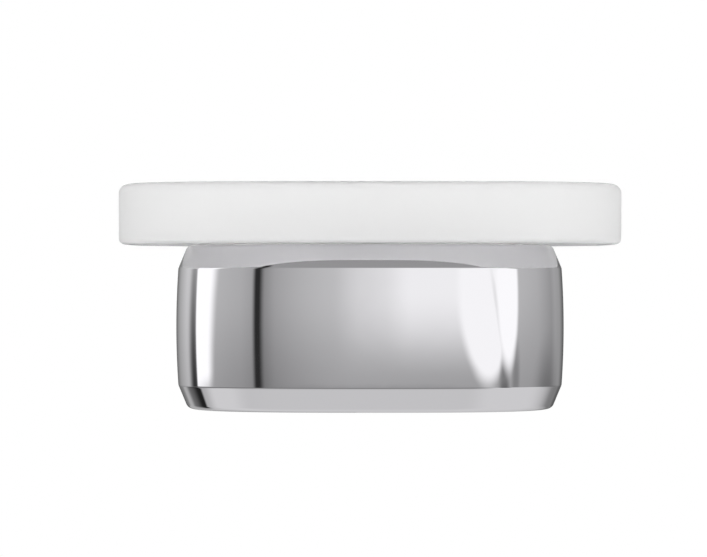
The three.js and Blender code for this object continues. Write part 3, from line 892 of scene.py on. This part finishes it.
def drawn_in(outline, distance):
    """An outline moved in by a distance all round, or out if it is negative"""
    moved = []
    for i, point in enumerate(outline):
        before = (point - outline[i - 1]).normalized()
        after = (outline[(i + 1) % len(outline)] - point).normalized()
        inward = Vector((-before.y - after.y, before.x + after.x))
        moved.append(point + inward * distance / (1 + before.dot(after)))
    return moved


def mirrored_down(corners):
    """The same corners below the middle"""
    return [(inset, -height, radius) for inset, height, radius in corners]


# the front half of the outline, then straight back and past the wall, where it is cut off
back_y = HOLDER_REAR_REACH + OVERRUN
whole = superellipse(HOLDER_WIDTH, 2 * HOLDER_FRONT_REACH, HOLDER_FULLNESS, HOLDER_POINTS)
holder_outline = whole[HOLDER_POINTS // 2:] + [
    whole[0],
    Vector((HOLDER_WIDTH / 2, back_y)),
    Vector((-HOLDER_WIDTH / 2, back_y)),
]
half_band = HOLDER_HEIGHT / 2 - BEVEL_HEIGHT
holder_top = HOLDER_HEIGHT / 2
widest_y = -HOLDER_REAR_REACH
swell_radius = (half_band**2 + BAND_BULGE**2) / (2 * BAND_BULGE)
corners = []
for step in range(BAND_STEPS):
    height = half_band * step / BAND_STEPS
    corners.append((swell_radius - math.sqrt(swell_radius**2 - height**2), height, 0))
corners.append((BAND_BULGE, half_band, CREASE_RADIUS))
corners.append((BAND_BULGE + BEVEL_INSET, holder_top, HOLDER_EDGE_RADIUS))
corners.append((BAND_BULGE + BEVEL_INSET + 2 * HOLDER_EDGE_RADIUS, holder_top, 0))
holder = drawn("holder_body_chrome", holder_outline, corners, mirrored_down(corners))

# the space inside, with the tub of the dish's pocket left standing in it
cavity_top = holder_top - HOLDER_WALL
cavity_lean = BEVEL_INSET * (cavity_top - half_band) / BEVEL_HEIGHT
corners = [
    (0, 0, 0),
    (BAND_BULGE, half_band, 0),
    (BAND_BULGE + cavity_lean, cavity_top, CAVITY_CORNER_RADIUS),
    (BAND_BULGE + cavity_lean + 2 * CAVITY_CORNER_RADIUS, cavity_top, 0),
]
cavity_outline = drawn_in(holder_outline, HOLDER_WALL)
cavity = drawn("holder_cavity", cavity_outline, corners, mirrored_down(corners))
pocket_outline = superellipse(POCKET_WIDTH, POCKET_LENGTH, POCKET_FULLNESS, POCKET_POINTS)
pocket_floor = holder_top - POCKET_DEPTH
tub_bottom = pocket_floor - POCKET_WALL
tub = drawn(
    "pocket_tub",
    drawn_in(pocket_outline, -POCKET_WALL),
    [(0, pocket_floor, 0), (0, holder_top, 0)],
    [(0, pocket_floor, 0), (0, tub_bottom, TUB_CORNER_RADIUS), (TUB_FLAT_INSET, tub_bottom, 0)],
)
combine(cavity, "DIFFERENCE", tub)

# The pocket, its rebate, the hook and the boss keep the casting's matt skin under a thinner, duller
# coat of the same plating. The cutters carry it, so it stays on the faces that they cut.
plated_casting, shader = new_material("plated_rough_casting", 0xA9ABAE, 0.42, metallic=1)
add_finish(
    plated_casting,
    shader,
    tones=(0x9C9EA1, 0xB4B6B9),
    tone_patches=11 * MM,
    roughness=(0.34, 0.5),
    grain=0.6 * MM,
    grain_depth=0.04 * MM,
)
pocket = drawn(
    "dish_pocket",
    pocket_outline,
    [(0, holder_top, 0), (0, holder_top + OVERRUN, 0)],
    [
        (0, holder_top, 0),
        (0, pocket_floor, POCKET_CORNER_RADIUS),
        (2 * POCKET_CORNER_RADIUS, pocket_floor, 0),
    ],
)
rebate_floor = holder_top + SEAT_STANDS_PROUD - SEAT_FLANGE_THICKNESS
rebate = drawn(
    "seat_rebate",
    drawn_in(pocket_outline, -SEAT_FLANGE_WIDTH - CLEARANCE),
    [(0, rebate_floor, 0), (0, holder_top + OVERRUN, 0)],
)
for cutter in (pocket, rebate):
    cutter.data.materials.append(plated_casting)

# Polished chrome plate, a near perfect mirror with a faint cold violet tint. It keeps the
# slightest swell of the hand-held polishing mops, under a tenth of a degree, and a film of
# wiping marks, longest from side to side, that dulls it in places.
WIPING_MARK_HEIGHT = 14 * MM
WIPING_HEIGHT_PER_LENGTH = 0.35
WIPING_FROM = 0.45
WIPING_TO = 0.75
CLEAN_ROUGHNESS = 0.018
WIPED_ROUGHNESS = 0.045
MOP_SWELL_LENGTH = 9 * MM
MOP_SWELL_DEPTH = 0.012 * MM
chrome, shader = new_material("polished_chrome_plate", 0xE6E5E8, 0.02, metallic=1)
chrome_tree = chrome.node_tree
where = add_node(chrome_tree, "ShaderNodeTexCoord").outputs["Object"]
along_wipe = add_node(
    chrome_tree,
    "ShaderNodeMapping",
    {
        "Vector": where,
        "Scale": (WIPING_HEIGHT_PER_LENGTH, WIPING_HEIGHT_PER_LENGTH, 1),
    },
).outputs[0]
wiping = add_node(
    chrome_tree,
    "ShaderNodeTexNoise",
    {"Vector": along_wipe, "Scale": 1 / WIPING_MARK_HEIGHT, "Detail": 4},
)
film = add_node(
    chrome_tree,
    "ShaderNodeMapRange",
    {
        "Value": wiping.outputs[0],
        "From Min": WIPING_FROM,
        "From Max": WIPING_TO,
        "To Min": CLEAN_ROUGHNESS,
        "To Max": WIPED_ROUGHNESS,
    },
    interpolation_type="SMOOTHSTEP",
)
chrome_tree.links.new(film.outputs[0], shader.inputs["Roughness"])
swell = add_node(
    chrome_tree,
    "ShaderNodeTexNoise",
    {"Vector": where, "Scale": 1 / MOP_SWELL_LENGTH, "Detail": 1},
)
bump = add_node(
    chrome_tree,
    "ShaderNodeBump",
    {"Height": swell.outputs[0], "Distance": MOP_SWELL_DEPTH, "Strength": 1},
)
chrome_tree.links.new(bump.outputs[0], shader.inputs["Normal"])
holder.data.materials.append(chrome)

combine(holder, "DIFFERENCE", cavity, pocket, rebate)
put(holder, y=widest_y)
bpy.ops.object.mode_set(mode="EDIT")
bpy.ops.mesh.select_all(action="SELECT")
bpy.ops.mesh.bisect(plane_co=(0, 0, 0), plane_no=(0, 1, 0), use_fill=True, clear_outer=True)
close_up(holder)

# the hook: a rail under the top, its lower face as steep as the plate's upper edge
plate_slope = PLATE_EDGE_SLOPE / PLATE_THICKNESS
hook_front = HOOK_WALL_GAP + HOOK_THICKNESS
in_deck = cavity_top + HOLDER_WALL / 2
section = [(-HOOK_WALL_GAP, in_deck), (-hook_front, in_deck)]
for from_wall in (hook_front, HOOK_WALL_GAP):
    plate_top = PLATE_HEIGHT / 2 - PLATE_EDGE_SLOPE + plate_slope * from_wall
    section.append((-from_wall, plate_top + CLEARANCE))
hook = add_outline("hook_rail", [(-HOOK_WIDTH / 2, y, z) for y, z in section])
bpy.ops.mesh.extrude_region_move(TRANSFORM_OT_translate={"value": (HOOK_WIDTH, 0, 0)})
close_up(hook)
bpy.ops.object.mode_set(mode="EDIT")
bpy.ops.mesh.select_all(action="SELECT")
bpy.ops.mesh.bevel(offset=HOOK_EDGE_RADIUS, segments=HOOK_EDGE_STEPS)
close_up(hook)

# the boss that the grub screw turns in, rounded at its top, and its hole
cavity_floor = -cavity_top
boss_top = cavity_floor + BOSS_HEIGHT
boss = drawn(
    "grub_boss",
    rounded_bar(2 * BOSS_RADIUS, 2 * BOSS_RADIUS, BOSS_RADIUS),
    [
        (0, cavity_floor - HOLDER_WALL / 2, 0),
        (0, boss_top, BOSS_EDGE_RADIUS),
        (2 * BOSS_EDGE_RADIUS, boss_top, 0),
    ],
)
hole_radius = GRUB_RADIUS + CLEARANCE
hole_mouth = hole_radius + HOLE_CHAMFER
grub_hole = drawn(
    "grub_hole",
    rounded_bar(2 * hole_mouth, 2 * hole_mouth, hole_mouth),
    [
        (0, -holder_top - OVERRUN, 0),
        (0, -holder_top, 0),
        (HOLE_CHAMFER, -holder_top + HOLE_CHAMFER, 0),
        (HOLE_CHAMFER, boss_top + OVERRUN, 0),
    ],
)
for each in (boss, grub_hole):
    put(each, y=-GRUB_FROM_WALL)
for each in (hook, boss, grub_hole):
    each.data.materials.append(plated_casting)
combine(holder, "UNION", hook, boss)
combine(holder, "DIFFERENCE", grub_hole)
dress(holder)
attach(holder, "holder")
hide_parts("holder_body")


# The grub screw
# A threaded pin of stainless steel with a hexagon socket below and a cone point above, driven up
# through the boss to wedge the holder against the plate's lower slope.
GRUB_LENGTH = 8 * MM
GRUB_CORE_RADIUS = 2.05 * MM
GRUB_PITCH = 0.8 * MM
GRUB_TURNS = 6
GRUB_TIP_RADIUS = 1.25 * MM
GRUB_TIP_LENGTH = 1.3 * MM
GRUB_SOCKET_RADIUS = 1.44 * MM
GRUB_SOCKET_DEPTH = 2.6 * MM
GRUB_CHAMFER = 0.4 * MM
GRUB_THREAD_GAP = 0.05 * MM

touch_from_wall = GRUB_FROM_WALL + GRUB_TIP_RADIUS
plate_bottom = -(PLATE_HEIGHT / 2 - PLATE_EDGE_SLOPE + plate_slope * touch_from_wall)
grub_top = plate_bottom - CLEARANCE
grub_bottom = grub_top - GRUB_LENGTH
grub = turned(
    "grub_screw_steel",
    [
        (0, grub_bottom),
        (GRUB_CORE_RADIUS, grub_bottom),
        (GRUB_CORE_RADIUS, grub_top - GRUB_TIP_LENGTH),
        (GRUB_TIP_RADIUS, grub_top),
        (0, grub_top),
    ],
)
envelope = turned(
    "grub_envelope",
    [
        (0, grub_bottom + GRUB_THREAD_GAP),
        (GRUB_RADIUS - GRUB_CHAMFER, grub_bottom + GRUB_THREAD_GAP),
        (GRUB_RADIUS, grub_bottom + GRUB_CHAMFER),
        (GRUB_RADIUS, grub_top - GRUB_TIP_LENGTH - GRUB_CHAMFER / 2),
        (GRUB_CORE_RADIUS, grub_top - GRUB_TIP_LENGTH),
        (0, grub_top - GRUB_TIP_LENGTH),
    ],
)
first_turn = grub_bottom + GRUB_CHAMFER
add_thread(grub, GRUB_CORE_RADIUS, GRUB_RADIUS, GRUB_PITCH, first_turn, GRUB_TURNS, envelope)
socket_middle = grub_bottom + GRUB_SOCKET_DEPTH - OVERRUN / 2
bpy.ops.object.select_all(action="DESELECT")
bpy.ops.mesh.primitive_cylinder_add(vertices=6, radius=GRUB_SOCKET_RADIUS, depth=OVERRUN)
socket = bpy.context.object
put(socket, y=socket_middle, tilt=90)
combine(grub, "DIFFERENCE", socket)
put(grub, y=-GRUB_FROM_WALL, tilt=90)
dress(grub, steel)
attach(grub, "holder")
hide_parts("grub_screw")


# The seat ring
# A soft white plastic ring, moulded in one piece, pressed into the holder's top. Its flange
# keeps the glass off the metal, and its collar steadies the dish's foot.
SEAT_COLLAR_WALL = 2 * MM
SEAT_COLLAR_DEPTH = 3.6 * MM
SEAT_LIP_RADIUS = 0.3 * MM

dish_bottom = holder_top + SEAT_STANDS_PROUD
collar_bottom = rebate_floor - SEAT_COLLAR_DEPTH
collar_inset = SEAT_FLANGE_WIDTH + CLEARANCE
hole_inset = collar_inset + SEAT_COLLAR_WALL
flange_middle = (rebate_floor + dish_bottom) / 2
seat_ring = drawn(
    "soft_seat_ring",
    drawn_in(pocket_outline, -SEAT_FLANGE_WIDTH),
    [
        (0, flange_middle, 0),
        (0, dish_bottom, SEAT_LIP_RADIUS),
        (hole_inset, dish_bottom, SEAT_LIP_RADIUS),
        (hole_inset, flange_middle, 0),
        (hole_inset, collar_bottom, 0),
    ],
    [
        (0, flange_middle, 0),
        (0, rebate_floor, SEAT_LIP_RADIUS),
        (collar_inset, rebate_floor, SEAT_LIP_RADIUS),
        (collar_inset, collar_bottom, SEAT_LIP_RADIUS),
        (hole_inset, collar_bottom, 0),
    ],
    hole=True,
)
put(seat_ring, y=widest_y)

# Soft polythene, natural white: matt and slightly waxy, and light glows through its thin lip.
polythene, shader = new_material("soft_white_polythene", 0xF0F0EC, 0.5)
let_light_in(shader, weight=0.6, depth=3 * MM, ior=1.51)
add_finish(
    polythene,
    shader,
    tones=(0xEDEDE9, 0xF4F4F1),
    tone_patches=8 * MM,
    roughness=(0.42, 0.58),
    grain=0.4 * MM,
    grain_depth=0.02 * MM,
)
dress(seat_ring, polythene)
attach(seat_ring, "holder")
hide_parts("dish_seat_ring")


# The glass dish
# Pressed glass, etched all over in acid to a satin white, and loose: it lifts straight out. Seven
# low ribs keep the soap out of the water, and a hollow foot drops into the seat ring.
DISH_WIDTH = 140 * MM
DISH_LENGTH = 105 * MM
DISH_HEIGHT = 16.5 * MM
DISH_FULLNESS = 3.5
DISH_TOP_EDGE_RADIUS = 2.4 * MM
DISH_BOTTOM_EDGE_RADIUS = 1.65 * MM
RIM_WIDTH = 7 * MM
RIM_INNER_RADIUS = 1.4 * MM
BASIN_DEPTH = 9 * MM
BASIN_WALL_LEAN = 2.2 * MM
BASIN_CORNER_RADIUS = 6 * MM
FOOT_HEIGHT = 3.5 * MM
FOOT_RIM_WIDTH = 5 * MM
FOOT_HOLLOW_DEPTH = 3 * MM
FOOT_EDGE_RADIUS = 0.8 * MM
RIB_COUNT = 7
RIB_PITCH = 11 * MM
RIB_WIDTH = 3.2 * MM
RIB_HEIGHT = 1.2 * MM
RIB_LONGEST = 50 * MM
RIB_SHORTENING = 1.6 * MM
RIB_EDGE_RADIUS = 0.5 * MM
RIB_FILLET = 0.5 * MM
RIB_FILLET_MARGIN = 0.1 * MM
RIB_FILLET_RISE = 0.02 * MM
DISH_POINTS = 320

dish_top = dish_bottom + DISH_HEIGHT
basin_floor = dish_top - BASIN_DEPTH
dish_middle = dish_bottom + DISH_HEIGHT / 2
dish_outline = superellipse(DISH_WIDTH, DISH_LENGTH, DISH_FULLNESS, DISH_POINTS)
floor_inset = RIM_WIDTH + BASIN_WALL_LEAN
dish = drawn(
    "satin_glass_dish",
    dish_outline,
    [
        (0, dish_middle, 0),
        (0, dish_top, DISH_TOP_EDGE_RADIUS),
        (RIM_WIDTH, dish_top, RIM_INNER_RADIUS),
        (floor_inset, basin_floor, BASIN_CORNER_RADIUS),
        (floor_inset + 2 * BASIN_CORNER_RADIUS, basin_floor, 0),
    ],
    [
        (0, dish_middle, 0),
        (0, dish_bottom, DISH_BOTTOM_EDGE_RADIUS),
        (2 * DISH_BOTTOM_EDGE_RADIUS, dish_bottom, 0),
    ],
)

# a rib grows out of the floor in a small fillet; its outline is taken round the fillet's foot, and
# the fillet starts a hair above the floor, so that the two don't share a face
fillet_foot = RIB_FILLET_MARGIN + RIB_FILLET
just_above = basin_floor + RIB_FILLET_RISE
ribs = []
for i in range(RIB_COUNT):
    place = i - (RIB_COUNT - 1) / 2
    length = RIB_LONGEST - 2 * RIB_SHORTENING * place**2
    end_radius = RIB_WIDTH / 2 + fillet_foot
    rib = drawn(
        "soap_rib",
        rounded_bar(2 * end_radius, length + 2 * fillet_foot, end_radius),
        [
            (0, basin_floor - RIB_HEIGHT, 0),
            (0, just_above, 0),
            (fillet_foot, just_above, RIB_FILLET),
            (fillet_foot, basin_floor + RIB_HEIGHT, RIB_EDGE_RADIUS),
            (fillet_foot + 2 * RIB_EDGE_RADIUS, basin_floor + RIB_HEIGHT, 0),
        ],
    )
    put(rib, x=place * RIB_PITCH)
    ribs.append(rib)
combine(dish, "UNION", joined(ribs))

foot_bottom = dish_bottom - FOOT_HEIGHT
hollow_top = foot_bottom + FOOT_HOLLOW_DEPTH
foot = drawn(
    "dish_foot",
    drawn_in(pocket_outline, SEAT_COLLAR_WALL + 2 * CLEARANCE),
    [],
    [
        (0, dish_bottom + FOOT_HEIGHT, 0),
        (0, foot_bottom, FOOT_EDGE_RADIUS),
        (FOOT_RIM_WIDTH, foot_bottom, FOOT_EDGE_RADIUS),
        (FOOT_RIM_WIDTH, hollow_top, FOOT_EDGE_RADIUS),
        (FOOT_RIM_WIDTH + 2 * FOOT_EDGE_RADIUS, hollow_top, 0),
    ],
)
combine(dish, "UNION", foot)
put(dish, y=widest_y)

# Acid-etched glass: no clear highlight anywhere, a fine even frost, and light that enters glows
# out of it elsewhere. The frost is drawn coarser than the real 0.05 mm so that it shows. It is
# densest on the edge, and the basin and the underside let more light through.
EDGE_TRANSMISSION = 0.3
FACE_TRANSMISSION = 0.85
# How level a face is where this change starts and ends, 0 for upright and 1 for level
CLEARER_FROM = 0.6
CLEAREST_FROM = 0.95
glass, shader = new_material("satin_etched_glass", 0xFDFDFD, 0.9)
let_light_in(shader, weight=1, depth=20 * MM, ior=1.5)
add_finish(
    glass,
    shader,
    tones=(0xFCFCFC, 0xFFFFFF),
    tone_patches=20 * MM,
    roughness=(0.86, 0.94),
    grain=0.3 * MM,
    grain_depth=0.006 * MM,
)
glass_tree = glass.node_tree
facing = add_node(glass_tree, "ShaderNodeNewGeometry").outputs["Normal"]
facing_axes = add_node(glass_tree, "ShaderNodeSeparateXYZ", {"Vector": facing})
level = add_node(glass_tree, "ShaderNodeMath", {0: facing_axes.outputs["Z"]}, operation="ABSOLUTE")
clearness = add_node(
    glass_tree,
    "ShaderNodeMapRange",
    {
        "Value": level.outputs[0],
        "From Min": CLEARER_FROM,
        "From Max": CLEAREST_FROM,
        "To Min": EDGE_TRANSMISSION,
        "To Max": FACE_TRANSMISSION,
    },
)
glass_tree.links.new(clearness.outputs[0], shader.inputs["Transmission Weight"])
dress(dish, glass)
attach(dish, "dish")
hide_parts("glass_dish")
